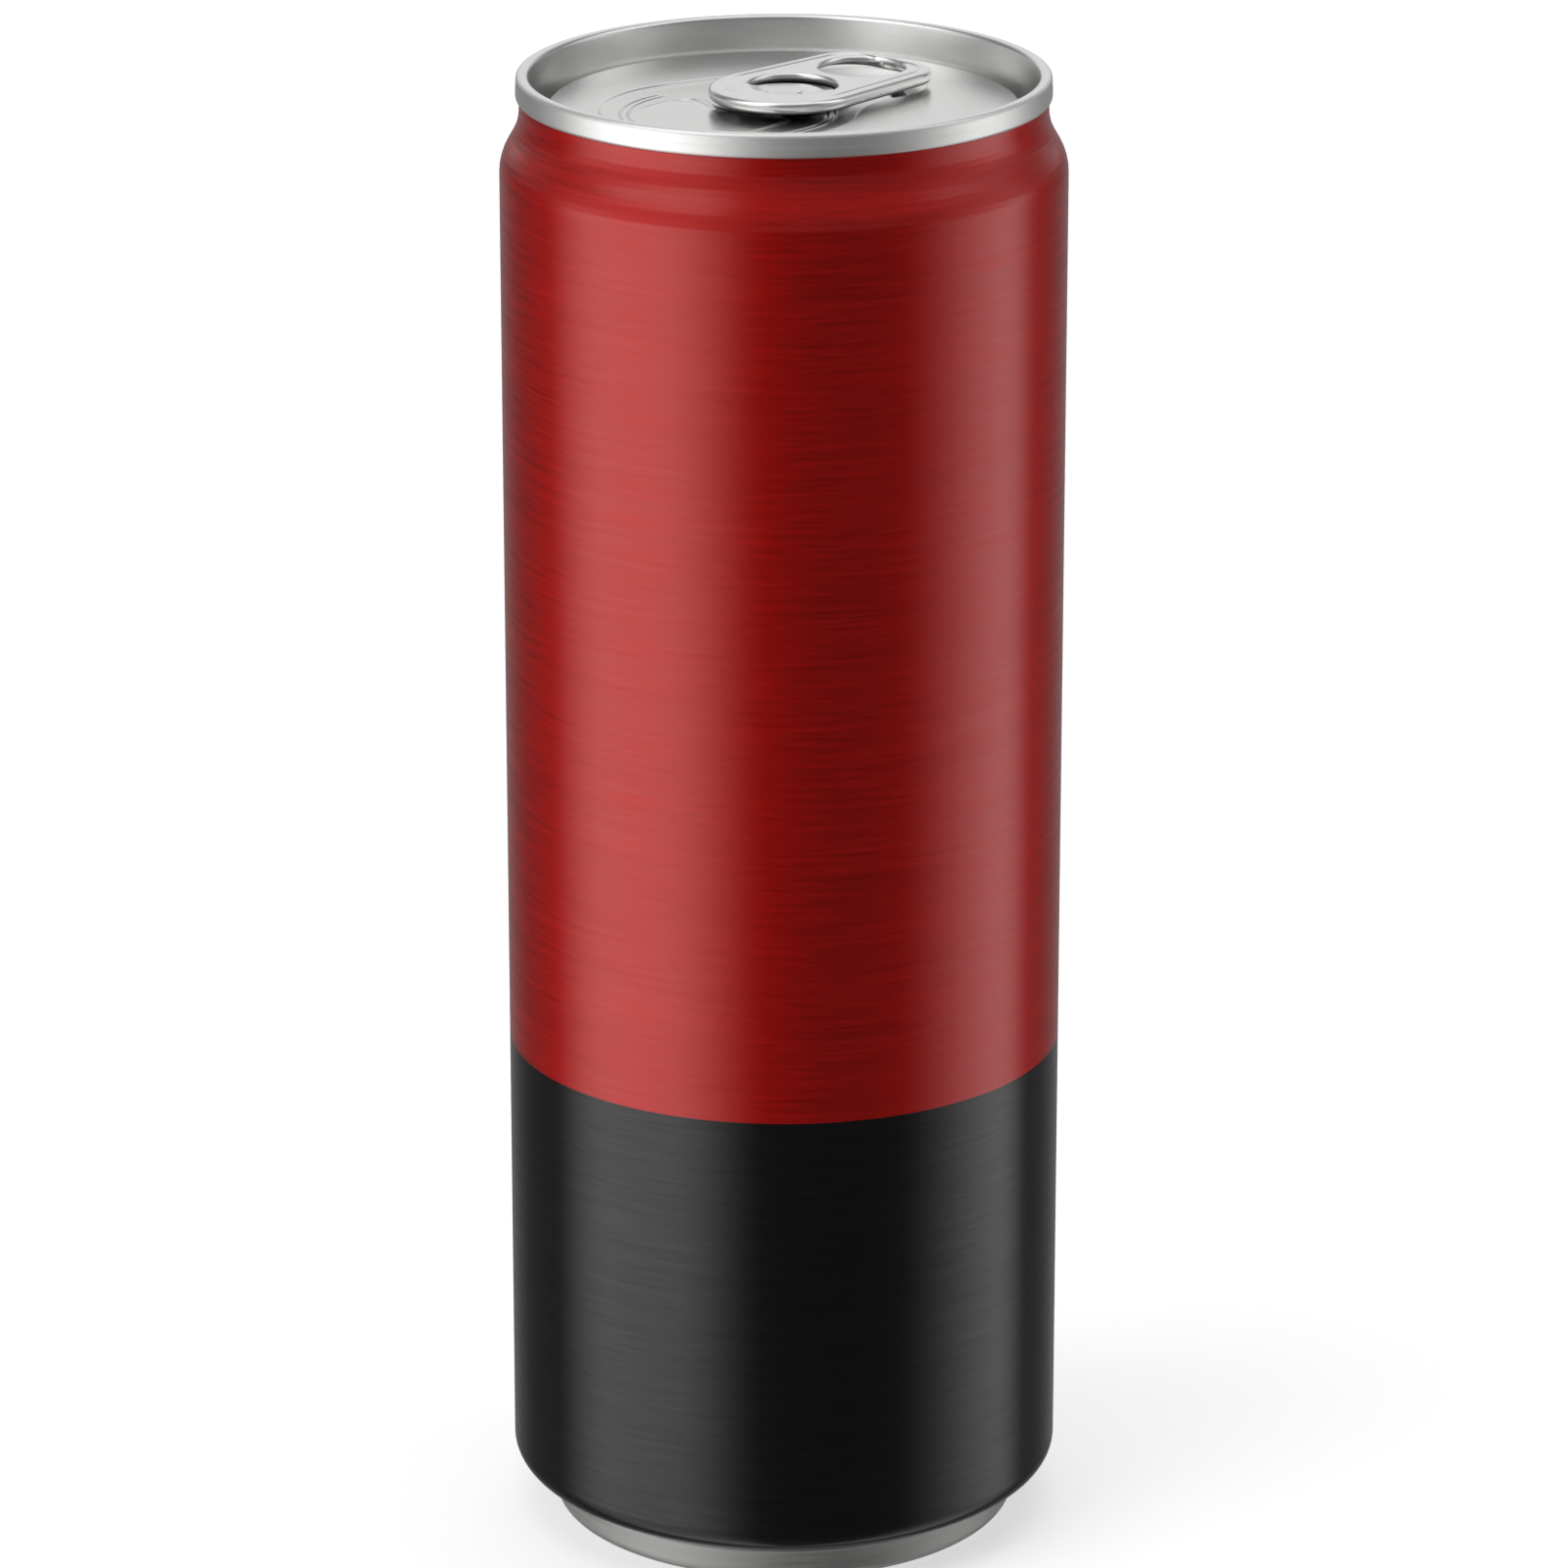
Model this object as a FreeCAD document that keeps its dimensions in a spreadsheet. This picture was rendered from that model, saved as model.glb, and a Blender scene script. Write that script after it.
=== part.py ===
import FreeCAD, Part
import math
import os
import re
import Sketcher

# A slim 355 ml drink can, shut: a drawn and ironed aluminium body with a necked shoulder and a domed
# base, a seamed-on end with its rivet and recessed panel, and a stay-on pull tab.
# Millimetres. The origin is the centre of the foot ring's standing plane, +Z up the can's axis, and
# the side that shows the tab's nose faces -Y.

SIZES = {
    # The whole can.
    "can_height": 154.6,
    "body_diameter": 57.4,
    # Base: foot ring, the sloped heel above it and the dome inside it.
    "foot_inset": 4.35,
    "foot_rounding": 1.2,
    "foot_flat": 0.5,
    "foot_wall": 3.3,
    "heel_slope": 28,
    "heel_radius": 2.6,
    "dome_height": 9.8,
    "dome_edge": 3.8,
    # Neck: an S-curve of two arcs and a straight slope between them.
    "neck_depth": 3.6,
    "neck_step": 2.05,
    "neck_slope": 30,
    "neck_bend": 5.5,
    "shoulder_radius": 5.5,
    # Double seam of the end, and its sheet.
    "seam_height": 2.5,
    "seam_overhang": 0.35,
    "seam_bead": 0.6,
    "seam_lip": 0.4,
    "end_sheet": 0.25,
    # Chuck wall, countersink and panel of the end.
    "chuck_lean": 1.0,
    "countersink_depth": 6.35,
    "countersink_bend": 0.5,
    "panel_depth": 3.3,
    "panel_corner": 0.4,
    # Recess of the pour panel: two lobes, a straight flank and a hollow flank.
    "recess_depth": 0.25,
    "recess_wall": 0.3,
    "recess_land": 4.4,
    "pour_lobe_back": 5.5,
    "pour_lobe_side": 2.5,
    "heel_land": 3.8,
    "heel_lobe_radius": 8.0,
    "heel_lobe_side": 1.5,
    "hollow_flank_radius": 10.0,
    # Raised ring on the pour panel and the two buttons under the tab's heel.
    "pour_ring_back": 10.6,
    "pour_ring_side": 2.5,
    "pour_ring_radius": 6.0,
    "pour_ring_width": 1.0,
    "pour_ring_height": 0.2,
    "button_out": 11.2,
    "button_side": 5.35,
    "button_radius": 1.05,
    "button_height": 0.6,
    "button_rounding": 0.54,
    # Pull tab, along its own axis: minus to the nose, plus to the heel.
    "tab_turn": 48,
    "tab_gap": 0.55,
    "tab_height": 1.3,
    "tab_sheet": 0.25,
    "tab_curl": 1.3,
    "nose_radius": 7.8,
    "nose_centre": 0.3,
    "heel_reach": 17.3,
    "heel_corner": 4.5,
    "heel_half_width": 7.1,
    "curl_rounding": 0.5,
    "hole_curl": 0.95,
    "rivet_window_radius": 4.6,
    "rivet_window_centre": 1.2,
    "finger_hole_radius": 4.4,
    "finger_hole_centre": 11.8,
    # Island of the tab, held by the end's rivet.
    "island_radius": 4.1,
    "island_lift": 0.35,
    "tongue_width": 5.75,
    "rivet_shank": 1.5,
    "rivet_head": 1.85,
    "rivet_head_height": 0.25,
    "rivet_rounding": 0.15,
    "boss_foot": 3.2,
    "boss_top": 2.3,
}

ALIAS = re.compile(r"\b(" + "|".join(SIZES) + r")\b")

# Radii and levels that several pieces share, as formulas of the sizes.
BODY_RADIUS = "body_diameter / 2"
NECK_RADIUS = "(body_diameter / 2 - neck_step)"
SEAM_RADIUS = "(body_diameter / 2 - neck_step + seam_overhang)"
FOOT_RADIUS = "(body_diameter / 2 - foot_inset)"
SEAM_FOOT = "(can_height - seam_height)"
WALL_TOP = SEAM_RADIUS + " - 2 * seam_bead"
WALL_FOOT = WALL_TOP + " - chuck_lean"
PANEL_EDGE = "(" + WALL_FOOT + " - 2 * countersink_bend)"
PANEL_FLAT = "(" + PANEL_EDGE + " - panel_corner)"
PANEL_TOP = "(can_height - panel_depth)"
PANEL_UNDER = "(can_height - panel_depth - end_sheet)"
RECESS_TOP = "(can_height - panel_depth - recess_depth)"
GROOVE_SPRING = "(can_height - countersink_depth + countersink_bend)"
BEAD_SPRING = "(can_height - seam_bead)"
WALL_FALL = "(countersink_depth - countersink_bend - seam_bead)"
WALL_AT_SEAM = "(" + WALL_TOP + " - chuck_lean * (seam_height - seam_bead) / " + WALL_FALL + " + end_sheet)"
TAB_UNDER = "(can_height - panel_depth + tab_gap)"
POUR_LOBE_RADIUS = "(" + PANEL_FLAT + " - recess_land - sqrt(pour_lobe_back ^ 2 + pour_lobe_side ^ 2))"
HEEL_LOBE_OUT = "(" + PANEL_FLAT + " - heel_land - heel_lobe_radius)"

doc = FreeCAD.newDocument("drink_can")
sheet = doc.addObject("Spreadsheet::Sheet", "Sizes")


def fill_sheet():
    """Writes each size to its own named cell."""
    for row, (alias, size) in enumerate(SIZES.items(), start=1):
        sheet.set(f"A{row}", alias)
        sheet.set(f"B{row}", str(size))
        sheet.setAlias(f"B{row}", alias)
    doc.recompute()


def bound(formula):
    """The formula as the document reads it, with each size taken from its cell."""
    return ALIAS.sub(r"Sizes.\1", formula)


def number(formula):
    """The formula's present value."""
    return float(sheet.evalExpression(bound(formula)))


def plane_of(body, role):
    """One of the body's own origin planes, such as XZ_Plane."""
    return next(item for item in body.Origin.OriginFeatures if item.Role == role)


def add_body(name):
    body = doc.addObject("PartDesign::Body", name)
    body.Label = name
    return body


def add_sketch(body, name, role, level=None, turn=None):
    """An empty sketch on one of the body's planes, lifted to a level and turned about Z if asked."""
    sketch = body.newObject("Sketcher::SketchObject", name)
    sketch.AttachmentSupport = [(plane_of(body, role), "")]
    sketch.MapMode = "FlatFace"
    if level:
        sketch.setExpression("AttachmentOffset.Base.z", bound(level))
    if turn:
        sketch.setExpression("AttachmentOffset.Rotation.Angle", bound(turn + " * 1 deg"))
    return sketch


def constrain(sketch, kind, places, formula):
    """A dimension of the sketch, bound to a formula."""
    index = sketch.addConstraint(Sketcher.Constraint(kind, *places, number(formula)))
    sketch.setExpression(f"Constraints[{index}]", bound(formula))


def minor_arc(start, end, radius, turn):
    """The shorter arc between two points, on whichever side makes it turn left or right."""
    half = (end - start) / 2
    rise = math.sqrt(max(radius ** 2 - half.Length ** 2, 0))
    side = FreeCAD.Vector(-half.y, half.x, 0).normalize()
    if turn == "right":
        side = -side
        start, end = end, start
    centre = (start + end) / 2 + side * rise
    first = math.atan2(start.y - centre.y, start.x - centre.x)
    last = math.atan2(end.y - centre.y, end.x - centre.x)
    circle = Part.Circle(centre, FreeCAD.Vector(0, 0, 1), radius)
    return Part.ArcOfCircle(circle, first, last)


def closed_outline(sketch, corners):
    """A closed outline. A corner is (across, up), reached by a straight run from the corner before,
    or (across, up, radius, turn), reached by an arc that turns left or right."""
    places = [FreeCAD.Vector(number(corner[0]), number(corner[1]), 0) for corner in corners]
    runs = []
    for index, corner in enumerate(corners):
        start = places[index - 1]
        end = places[index]
        if len(corner) == 2:
            name = sketch.addGeometry(Part.LineSegment(start, end), False)
            runs.append((name, 1, 2))
            continue
        radius, turn = corner[2], corner[3]
        name = sketch.addGeometry(minor_arc(start, end, number(radius), turn), False)
        runs.append((name, 1, 2) if turn == "left" else (name, 2, 1))
        constrain(sketch, "Radius", (name,), radius)
    for index, corner in enumerate(corners):
        name, last = runs[index][0], runs[index][2]
        next_run = runs[(index + 1) % len(runs)]
        sketch.addConstraint(Sketcher.Constraint("Coincident", name, last, next_run[0], next_run[1]))
        for axis, kind, formula in ((-2, "DistanceX", corner[0]), (-1, "DistanceY", corner[1])):
            if formula == "0":
                sketch.addConstraint(Sketcher.Constraint("PointOnObject", name, last, axis))
            else:
                constrain(sketch, kind, (-1, 1, name, last), formula)


def add_circle(sketch, across, along, radius):
    """A circle with its centre and radius bound."""
    centre = FreeCAD.Vector(number(across), number(along), 0)
    circle = Part.Circle(centre, FreeCAD.Vector(0, 0, 1), number(radius))
    name = sketch.addGeometry(circle, False)
    constrain(sketch, "Radius", (name,), radius)
    for axis, kind, formula in ((-2, "DistanceX", across), (-1, "DistanceY", along)):
        if formula == "0":
            sketch.addConstraint(Sketcher.Constraint("PointOnObject", name, 3, axis))
        else:
            constrain(sketch, kind, (-1, 1, name, 3), formula)


def revolve(body, name, sketch):
    """Turns the sketch once round the can's axis and adds it to the body."""
    feature = body.newObject("PartDesign::Revolution", name)
    feature.Profile = sketch
    feature.ReferenceAxis = (sketch, ["V_Axis"])
    feature.Angle = 360
    doc.recompute()
    return feature


def extrude(body, kind, name, sketch, length, backwards=False):
    """A pad, or a pocket that must take something away."""
    before = body.Shape.Volume if kind == "Pocket" else 0
    feature = body.newObject(f"PartDesign::{kind}", name)
    feature.Profile = sketch
    feature.Length = number(length)
    feature.setExpression("Length", bound(length))
    feature.Reversed = backwards
    doc.recompute()
    if kind == "Pocket" and body.Shape.Volume >= before:
        raise ValueError(f"{name} cut nothing")
    return feature


def round_rims(body, name, level, radius, widest_only=False):
    """Rounds the outer rim of each flat face at one level, or of the widest such face alone."""
    base = body.Tip
    height = number(level)
    faces = [face for face in base.Shape.Faces
             if abs(face.BoundBox.ZMin - height) < 0.001 and abs(face.BoundBox.ZMax - height) < 0.001]
    if widest_only:
        faces = [max(faces, key=lambda face: face.BoundBox.DiagonalLength)]
    rims = [edge for face in faces for edge in face.OuterWire.Edges]
    chosen = [f"Edge{index}" for index, edge in enumerate(base.Shape.Edges, start=1)
              if any(edge.isSame(rim) for rim in rims)]
    feature = body.newObject("PartDesign::Fillet", name)
    feature.Base = (base, chosen)
    feature.Radius = number(radius)
    feature.setExpression("Radius", bound(radius))
    doc.recompute()
    return feature


def tangent_arc_centre(first, first_reach, second, second_reach):
    """The point at given distances from two others, on the right-hand side of the line between them."""
    line = second - first
    along = (first_reach ** 2 - second_reach ** 2 + line.Length ** 2) / (2 * line.Length)
    off = math.sqrt(first_reach ** 2 - along ** 2)
    unit = FreeCAD.Vector(line).normalize()
    return first + unit * along + FreeCAD.Vector(unit.y, -unit.x, 0) * off


def arc_through(centre, radius, start, end):
    """The arc that turns left about a centre from one point to another."""
    first = math.atan2(start.y - centre.y, start.x - centre.x)
    last = math.atan2(end.y - centre.y, end.x - centre.x)
    return Part.ArcOfCircle(Part.Circle(centre, FreeCAD.Vector(0, 0, 1), radius), first, last)


def recess_outline(sketch, spread="0"):
    """The recess of the end's panel, in the tab's axes, or the same outline spread outwards: a large
    lobe round the pour side, a small one round the tab's heel, one straight flank and one hollow
    flank, each meeting the next tangentially."""
    pour_radius = POUR_LOBE_RADIUS + " + " + spread
    heel_radius = "heel_lobe_radius + " + spread
    hollow_radius = "hollow_flank_radius - " + spread
    pour = FreeCAD.Vector(-number("pour_lobe_back"), number("pour_lobe_side"), 0)
    heel = FreeCAD.Vector(number(HEEL_LOBE_OUT), number("heel_lobe_side"), 0)
    pour_reach, heel_reach, hollow_reach = number(pour_radius), number(heel_radius), number(hollow_radius)
    hollow = tangent_arc_centre(pour, pour_reach + hollow_reach, heel, heel_reach + hollow_reach)
    line = heel - pour
    lean = math.atan2(line.y, line.x) + math.acos((pour_reach - heel_reach) / line.Length)
    outward = FreeCAD.Vector(math.cos(lean), math.sin(lean), 0)
    pour_flank = pour + outward * pour_reach
    heel_flank = heel + outward * heel_reach
    pour_hollow = pour + (hollow - pour).normalize() * pour_reach
    heel_hollow = heel + (hollow - heel).normalize() * heel_reach
    pour_arc = sketch.addGeometry(arc_through(pour, pour_reach, pour_flank, pour_hollow), False)
    heel_arc = sketch.addGeometry(arc_through(heel, heel_reach, heel_hollow, heel_flank), False)
    hollow_arc = sketch.addGeometry(arc_through(hollow, hollow_reach, heel_hollow, pour_hollow), False)
    flank = sketch.addGeometry(Part.LineSegment(heel_flank, pour_flank), False)
    constrain(sketch, "Radius", (pour_arc,), pour_radius)
    constrain(sketch, "Radius", (heel_arc,), heel_radius)
    constrain(sketch, "Radius", (hollow_arc,), hollow_radius)
    constrain(sketch, "DistanceX", (-1, 1, pour_arc, 3), "-pour_lobe_back")
    constrain(sketch, "DistanceY", (-1, 1, pour_arc, 3), "pour_lobe_side")
    constrain(sketch, "DistanceX", (-1, 1, heel_arc, 3), HEEL_LOBE_OUT)
    constrain(sketch, "DistanceY", (-1, 1, heel_arc, 3), "heel_lobe_side")
    joints = (
        (heel_arc, 2, flank, 1),
        (flank, 2, pour_arc, 1),
        (pour_arc, 2, hollow_arc, 2),
        (hollow_arc, 1, heel_arc, 1),
    )
    for joint in joints:
        sketch.addConstraint(Sketcher.Constraint("Tangent", *joint))


def end_underside():
    """Corners of the end's underside, from the panel's middle out to the seam: the line along which
    the end and the filled can below it touch."""
    inner_bend = "(panel_corner - end_sheet)"
    outer_bend = "(countersink_bend + end_sheet)"
    groove_middle = PANEL_EDGE + " + countersink_bend"
    return [
        (PANEL_FLAT, PANEL_UNDER),
        (PANEL_EDGE + " - end_sheet", PANEL_UNDER + " - " + inner_bend, inner_bend, "right"),
        (PANEL_EDGE + " - end_sheet", GROOVE_SPRING),
        (groove_middle, GROOVE_SPRING + " - " + outer_bend, outer_bend, "left"),
        (WALL_FOOT + " + end_sheet", GROOVE_SPRING, outer_bend, "left"),
        (WALL_AT_SEAM, SEAM_FOOT),
    ]


def can_body():
    """The drawn body with what it holds: one solid from the foot ring up to the end's underside."""
    body = add_body("can_body")
    sketch = add_sketch(body, "body_outline", "XZ_Plane")
    ring_outer_flat = FOOT_RADIUS + " - foot_rounding"
    ring_inner_flat = FOOT_RADIUS + " - foot_rounding - foot_flat"
    dome_foot = "(" + FOOT_RADIUS + " - 2 * foot_rounding - foot_flat)"
    dome_rise = "(dome_height - dome_edge)"
    dome_radius = "(" + dome_foot + " ^ 2 + " + dome_rise + " ^ 2) / (2 * " + dome_rise + ")"
    heel_across = "(" + BODY_RADIUS + " - heel_radius * (1 - sin(heel_slope)))"
    heel_up = "(foot_wall + (" + heel_across + " - " + FOOT_RADIUS + ") * tan(heel_slope))"
    slope_run = ("(neck_step - (shoulder_radius + neck_bend) * (1 - cos(neck_slope)))"
                 " / tan(neck_slope)")
    neck_top = "(can_height - neck_depth)"
    bend_across = "(" + NECK_RADIUS + " + neck_bend * (1 - cos(neck_slope)))"
    bend_up = "(" + neck_top + " - neck_bend * sin(neck_slope))"
    shoulder_across = "(" + BODY_RADIUS + " - shoulder_radius * (1 - cos(neck_slope)))"
    shoulder_up = "(" + bend_up + " - " + slope_run + ")"
    underside = end_underside()
    corners = [
        ("0", PANEL_UNDER),
        ("0", "dome_height"),
        (dome_foot, "dome_edge", dome_radius, "right"),
        (dome_foot, "foot_rounding"),
        (ring_inner_flat, "0", "foot_rounding", "left"),
        (ring_outer_flat, "0"),
        (FOOT_RADIUS, "foot_rounding", "foot_rounding", "left"),
        (FOOT_RADIUS, "foot_wall"),
        (heel_across, heel_up),
        (BODY_RADIUS, heel_up + " + heel_radius * cos(heel_slope)", "heel_radius", "left"),
        (BODY_RADIUS, shoulder_up + " - shoulder_radius * sin(neck_slope)"),
        (shoulder_across, shoulder_up, "shoulder_radius", "left"),
        (bend_across, bend_up),
        (NECK_RADIUS, neck_top, "neck_bend", "right"),
        (NECK_RADIUS, SEAM_FOOT),
        (WALL_AT_SEAM, SEAM_FOOT),
    ]
    for index in range(len(underside) - 2, -1, -1):
        across, up = underside[index][:2]
        bend = underside[index + 1][2:]
        if bend:
            bend = (bend[0], "left" if bend[1] == "right" else "right")
        corners.append((across, up) + tuple(bend))
    closed_outline(sketch, corners)
    revolve(body, "drawn_body", sketch)
    recess = add_sketch(body, "recess_seat", "XY_Plane", PANEL_UNDER, "tab_turn")
    recess_outline(recess, "recess_wall")
    extrude(body, "Pocket", "recess_room", recess, "recess_depth")
    return body


def can_end():
    """The end: double seam, chuck wall, countersink, recessed panel, raised ring, buttons, rivet."""
    body = add_body("can_end")
    sketch = add_sketch(body, "end_outline", "XZ_Plane")
    groove_middle = PANEL_EDGE + " + countersink_bend"
    corners = [
        ("0", PANEL_TOP),
        ("0", PANEL_UNDER),
        *end_underside(),
        (SEAM_RADIUS + " - seam_lip", SEAM_FOOT),
        (SEAM_RADIUS, SEAM_FOOT + " + seam_lip", "seam_lip", "left"),
        (SEAM_RADIUS, BEAD_SPRING),
        (SEAM_RADIUS + " - seam_bead", "can_height", "seam_bead", "left"),
        (WALL_TOP, BEAD_SPRING, "seam_bead", "left"),
        (WALL_FOOT, GROOVE_SPRING),
        (groove_middle, GROOVE_SPRING + " - countersink_bend", "countersink_bend", "right"),
        (PANEL_EDGE, GROOVE_SPRING, "countersink_bend", "right"),
        (PANEL_EDGE, PANEL_TOP + " - panel_corner"),
        (PANEL_FLAT, PANEL_TOP, "panel_corner", "left"),
    ]
    closed_outline(sketch, corners)
    revolve(body, "seamed_end", sketch)
    floor = add_sketch(body, "recess_floor_outline", "XY_Plane", PANEL_UNDER, "tab_turn")
    recess_outline(floor, "recess_wall")
    extrude(body, "Pad", "recess_floor", floor, "recess_depth", backwards=True)
    recess = add_sketch(body, "recess_outline", "XY_Plane", PANEL_TOP, "tab_turn")
    recess_outline(recess)
    extrude(body, "Pocket", "panel_recess", recess, "recess_depth")
    ring = add_sketch(body, "pour_ring_outline", "XY_Plane", RECESS_TOP, "tab_turn")
    for half_width in (" + pour_ring_width / 2", " - pour_ring_width / 2"):
        add_circle(ring, "-pour_ring_back", "pour_ring_side", "pour_ring_radius" + half_width)
    extrude(body, "Pad", "pour_ring", ring, "pour_ring_height")
    buttons = add_sketch(body, "button_outlines", "XY_Plane", RECESS_TOP, "tab_turn")
    add_circle(buttons, "button_out", "button_side", "button_radius")
    add_circle(buttons, "button_out", "-button_side", "button_radius")
    extrude(body, "Pad", "heel_buttons", buttons, "button_height")
    rivet(body)
    round_rims(body, "button_edges", RECESS_TOP + " + button_height", "button_rounding")
    return body


def rivet(body):
    """The rivet drawn up from the panel: a boss under the tab's island, a shank and a flattened head."""
    island_under = "(" + TAB_UNDER + " + island_lift)"
    island_top = "(" + TAB_UNDER + " + island_lift + tab_sheet)"
    head_top = "(" + island_top + " + rivet_head_height)"
    sketch = add_sketch(body, "rivet_outline", "XZ_Plane")
    corners = [
        ("0", head_top),
        ("0", RECESS_TOP),
        ("boss_foot", RECESS_TOP),
        ("boss_top", island_under),
        ("rivet_shank", island_under),
        ("rivet_shank", island_top),
        ("rivet_head", island_top),
        ("rivet_head", head_top + " - rivet_rounding"),
        ("rivet_head - rivet_rounding", head_top, "rivet_rounding", "left"),
    ]
    closed_outline(sketch, corners)
    revolve(body, "rivet", sketch)


def tab_outline(sketch, inset):
    """The tab seen from above, or the same outline drawn in by an inset: a round nose, straight
    sides and a heel with two rounded corners."""
    nose_radius = "(nose_radius - " + inset + ")"
    corner_radius = "(heel_corner - " + inset + ")"
    corner_out = "(heel_reach - heel_corner)"
    corner_side = "(heel_half_width - heel_corner)"
    run = "(heel_reach - heel_corner - nose_centre)"
    span = "sqrt(" + run + " ^ 2 + " + corner_side + " ^ 2)"
    lean = "(atan(" + corner_side + " / " + run + ") + acos((nose_radius - heel_corner) / " + span + "))"
    side_across = "(nose_centre + " + nose_radius + " * cos(" + lean + "))"
    side_along = nose_radius + " * sin(" + lean + ")"
    heel_across = "(" + corner_out + " + " + corner_radius + " * cos(" + lean + "))"
    heel_along = "(" + corner_side + " + " + corner_radius + " * sin(" + lean + "))"
    heel_end = "heel_reach - " + inset
    nose_tip = "nose_centre - " + nose_radius
    closed_outline(sketch, [
        (heel_across, "-" + heel_along),
        (heel_end, "-" + corner_side, corner_radius, "left"),
        (heel_end, corner_side),
        (heel_across, heel_along, corner_radius, "left"),
        (side_across, side_along),
        (nose_tip, "0", nose_radius, "left"),
        (side_across, "-" + side_along, nose_radius, "left"),
    ])


def pull_tab():
    """The stay-on tab: a plate with curled edges, a finger hole, and a window whose island the rivet
    holds. It is drawn along its own axis on its underside and then set in place."""
    body = add_body("pull_tab")
    outline = add_sketch(body, "tab_outline", "XY_Plane")
    tab_outline(outline, "0")
    extrude(body, "Pad", "tab_blank", outline, "tab_height")
    hollow = add_sketch(body, "hollow_outline", "XY_Plane")
    tab_outline(hollow, "tab_curl")
    extrude(body, "Pocket", "hollow_underside", hollow, "tab_height - tab_sheet", backwards=True)
    holes = (
        ("rivet_window", "rivet_window_centre", "rivet_window_radius"),
        ("finger_hole", "finger_hole_centre", "finger_hole_radius"),
    )
    for name, centre, radius in holes:
        curl = add_sketch(body, name + "_curl_outline", "XY_Plane")
        add_circle(curl, centre, "0", radius + " + hole_curl")
        extrude(body, "Pad", name + "_curl", curl, "tab_height")
    for name, centre, radius in holes:
        hole = add_sketch(body, name + "_outline", "XY_Plane")
        add_circle(hole, centre, "0", radius)
        extrude(body, "Pocket", name, hole, "tab_height", backwards=True)
    island = add_sketch(body, "island_outline", "XY_Plane", "island_lift")
    tongue_end = "nose_centre - nose_radius + tab_curl / 2"
    half_tongue = "tongue_width / 2"
    tongue_start = "-sqrt(island_radius ^ 2 - (tongue_width / 2) ^ 2)"
    closed_outline(island, [
        (tongue_end, half_tongue),
        (tongue_end, "-" + half_tongue),
        (tongue_start, "-" + half_tongue),
        ("island_radius", "0", "island_radius", "left"),
        (tongue_start, half_tongue, "island_radius", "left"),
    ])
    extrude(body, "Pad", "island", island, "tab_sheet")
    shank = add_sketch(body, "shank_hole_outline", "XY_Plane", "island_lift")
    add_circle(shank, "0", "0", "rivet_shank")
    extrude(body, "Pocket", "shank_hole", shank, "tab_sheet", backwards=True)
    round_rims(body, "top_rounding", "tab_height", "curl_rounding", widest_only=True)
    round_rims(body, "under_rounding", "0", "curl_rounding", widest_only=True)
    body.setExpression("Placement.Base.z", bound(TAB_UNDER))
    body.setExpression("Placement.Rotation.Angle", bound("tab_turn * 1 deg"))
    return body


def check(pieces):
    """Stops if any object of the document failed or any piece has no sound solid."""
    for item in doc.Objects:
        if "Invalid" in item.State or "Error" in item.State:
            raise ValueError(f"{item.Name} failed: {item.State}")
    for piece in pieces:
        shape = piece.Shape
        if shape.isNull() or not shape.isValid() or len(shape.Solids) != 1:
            raise ValueError(f"{piece.Label} is not one sound solid")


fill_sheet()
pieces = [can_body(), can_end(), pull_tab()]
doc.recompute()
check(pieces)
os.makedirs("parts", exist_ok=True)
for piece in pieces:
    piece.Shape.exportStep(f"parts/{piece.Label}.step")
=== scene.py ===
import math
import bmesh
import bpy
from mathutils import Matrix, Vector, geometry, kdtree


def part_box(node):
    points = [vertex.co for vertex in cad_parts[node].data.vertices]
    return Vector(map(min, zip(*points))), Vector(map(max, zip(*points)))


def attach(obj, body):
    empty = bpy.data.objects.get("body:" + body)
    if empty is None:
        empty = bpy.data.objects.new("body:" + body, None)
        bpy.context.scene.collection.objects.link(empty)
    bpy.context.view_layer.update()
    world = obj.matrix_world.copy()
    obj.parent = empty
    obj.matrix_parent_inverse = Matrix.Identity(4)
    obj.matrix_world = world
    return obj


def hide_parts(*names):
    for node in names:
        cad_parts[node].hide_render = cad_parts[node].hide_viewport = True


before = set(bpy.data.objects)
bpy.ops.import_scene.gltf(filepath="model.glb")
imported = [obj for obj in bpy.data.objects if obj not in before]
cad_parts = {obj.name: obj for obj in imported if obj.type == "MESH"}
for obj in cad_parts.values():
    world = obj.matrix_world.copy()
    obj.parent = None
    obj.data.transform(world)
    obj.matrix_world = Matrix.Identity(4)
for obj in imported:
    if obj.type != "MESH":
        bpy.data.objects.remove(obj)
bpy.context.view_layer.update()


# ---------------------------------------------------------------------------------------- can_body
# The body is drawn and ironed from one aluminium disc: a thin wall, a shoulder necked in to take the
# end, a sloped heel, a narrow foot ring and a dome inside it. The wall is brushed by the ironing, then
# lacquered in clear red above and in black below; the foot stays bare so that it slides on conveyors.
MM = 0.001
ROUND_STEPS = 320
BEND_STEP = math.radians(7.5)
CAN_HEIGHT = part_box("can_end")[1].z / MM
SEAM_RADIUS = min(map(abs, (*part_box("can_end")[0].xy, *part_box("can_end")[1].xy))) / MM
WALL_RADIUS = min(map(abs, (*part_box("can_body")[0].xy, *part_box("can_body")[1].xy))) / MM
SEAM_HEIGHT = 2.5
SEAM_OVERHANG = 0.35
NECK_DEPTH = 3.6
NECK_BEND = 5.5
NECK_SLOPE = math.radians(30)
FOOT_INSET = 4.35
FOOT_WIDTH = 2.9
FOOT_ROUNDING = 1.2
FOOT_WALL = 3.3
FOOT_BEND = 0.35
HEEL_SLOPE = math.radians(28)
HEEL_BEND = 2.6
DOME_HEIGHT = 9.8
DOME_EDGE = 3.8
DOME_STEPS = 24
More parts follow.
